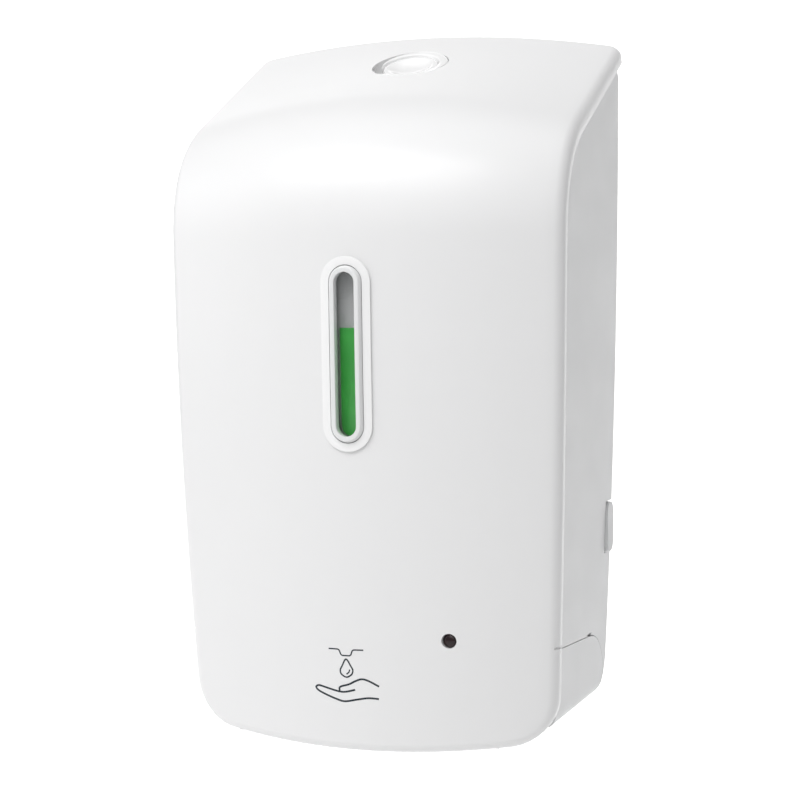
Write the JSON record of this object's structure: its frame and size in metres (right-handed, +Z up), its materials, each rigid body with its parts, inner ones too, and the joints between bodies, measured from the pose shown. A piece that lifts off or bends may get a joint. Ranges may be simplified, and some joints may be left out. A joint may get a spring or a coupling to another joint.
{
  "type": "wall mounted soap dispenser",
  "caption": "Touch free wall soap dispenser: crowned white cover hinged at the bottom, sight window, roof lock button, soap tank, gear pump and battery bay.",
  "frame": {"origin": "middle of the wall plate's back face, on the wall", "axes": "+Z up, +Y into the wall, the cover faces -Y, +X to the right for a viewer facing the dispenser"},
  "size_m": [0.14, 0.1026, 0.2476],
  "materials": {
    "white_gloss_abs": "polished moulded ABS",
    "white_satin_abs": "satin moulded ABS",
    "clear_plastic": "clear moulded plastic",
    "soap_green": "translucent liquid",
    "blue_plastic": "satin",
    "grey_plastic": "fine texture",
    "dark_window": "polished",
    "black_plastic": "satin",
    "red_plastic": "satin",
    "ir_lens": "clear epoxy",
    "rubber_seal": "matt",
    "silicone": "satin translucent",
    "steel": "plated",
    "brass": "bright",
    "acetal": "smooth",
    "battery_sleeve": "printed sleeve, plain",
    "circuit_board": "solder mask"
  },
  "bodies": {
    "dispenser_body": {"back_housing": "white_gloss_abs", "lower_housing": "white_gloss_abs", "wall_plate": "white_satin_abs", "inner_panel": "white_satin_abs", "nozzle": "white_satin_abs", "tank_body": "clear_plastic", "tank_lid": "clear_plastic", "soap": "soap_green", "pump_deck": "grey_plastic", "gear_plate": "grey_plastic", "pump_body": "grey_plastic", "pump_cover": "grey_plastic", "sensor_window": "dark_window", "power_switch_body": "black_plastic", "ir_receiver": "black_plastic", "status_led": "red_plastic", "ir_emitter": "ir_lens", "pump_gasket": "rubber_seal", "outlet_tube": "silicone", "nozzle_valve": "silicone", "hinge_pin_left": "steel", "hinge_pin_right": "steel", "fixing_screw_1": "steel", "fixing_screw_2": "steel", "fixing_screw_3": "steel", "fixing_screw_4": "steel", "deck_screw_1": "steel", "deck_screw_2": "steel", "deck_screw_3": "steel", "deck_screw_4": "steel", "motor_can": "steel", "driven_gear_axle": "steel", "catch_spring": "steel", "battery_contact_left": "brass", "battery_contact_right": "brass", "battery_1": "battery_sleeve", "battery_2": "battery_sleeve", "battery_3": "battery_sleeve", "battery_4": "battery_sleeve", "control_board": "circuit_board", "sensor_board": "circuit_board"},
    "cover": {"front_cover": "white_gloss_abs", "window_bezel": "white_gloss_abs", "window_lens": "clear_plastic", "window_gasket": "rubber_seal", "indicator_window": "dark_window", "button_bezel": "white_gloss_abs", "button_spring": "steel"},
    "button": {"lock_button": "white_gloss_abs"},
    "latch": {"latch_slider": "acetal"},
    "filler": {"filler_cap": "blue_plastic", "filler_seal": "rubber_seal"},
    "door": {"battery_door": "white_gloss_abs"},
    "rocker": {"power_rocker": "red_plastic"},
    "motor_rotor": {"motor_shaft": "steel", "motor_pinion": "brass"},
    "pump_drive": {"reduction_wheel": "acetal", "drive_shaft": "steel", "pump_drive_gear": "acetal"},
    "pump_driven": {"pump_driven_gear": "acetal"}
  },
  "joints": [
    {"name": "cover_hinge", "type": "hinge", "parent": "dispenser_body", "child": "cover", "pos_m": [0, -0.066, -0.125], "axis": [1, 0, 0], "range_deg": [0, 90], "deforming": ["catch_spring"]},
    {"name": "lock_button_press", "type": "slide", "parent": "cover", "child": "button", "axis": [0, 0.4402, -0.8979], "range_m": [0, 0.003], "stiffness_N_per_m": 900, "deforming": ["button_spring"]},
    {"name": "latch_slide", "type": "slide", "parent": "cover", "child": "latch", "axis": [0, -0.8979, -0.4402], "range_m": [0, 0.0041]},
    {"name": "filler_cap_turn", "type": "hinge", "parent": "dispenser_body", "child": "filler", "pos_m": [0, -0.06, 0.05219], "axis": [0, -0.4402, 0.8979], "range_deg": [0, 90]},
    {"name": "battery_door_hinge", "type": "hinge", "parent": "dispenser_body", "child": "door", "pos_m": [0, -0.0176, -0.119], "axis": [1, 0, 0], "range_deg": [0, 90]},
    {"name": "power_rocker_tilt", "type": "hinge", "parent": "dispenser_body", "child": "rocker", "pos_m": [0, -0.083, -0.077], "axis": [1, 0, 0], "range_deg": [0, 18]},
    {"name": "pump_drive_spin", "type": "hinge", "parent": "dispenser_body", "child": "pump_drive", "pos_m": [0, -0.056, -0.082], "axis": [1, 0, 0], "continuous": true},
    {"name": "motor_spin", "type": "hinge", "parent": "dispenser_body", "child": "motor_rotor", "pos_m": [0, -0.0376, -0.082], "axis": [1, 0, 0], "continuous": true},
    {"name": "pump_driven_spin", "type": "hinge", "parent": "dispenser_body", "child": "pump_driven", "pos_m": [0, -0.071, -0.082], "axis": [1, 0, 0], "continuous": true}
  ],
  "couplings": [
    {"joint": "latch_slide", "follows": "lock_button_press", "ratio": 1.3333},
    {"joint": "motor_spin", "follows": "pump_drive_spin", "ratio": -3.6},
    {"joint": "pump_driven_spin", "follows": "pump_drive_spin", "ratio": -1}
  ]
}
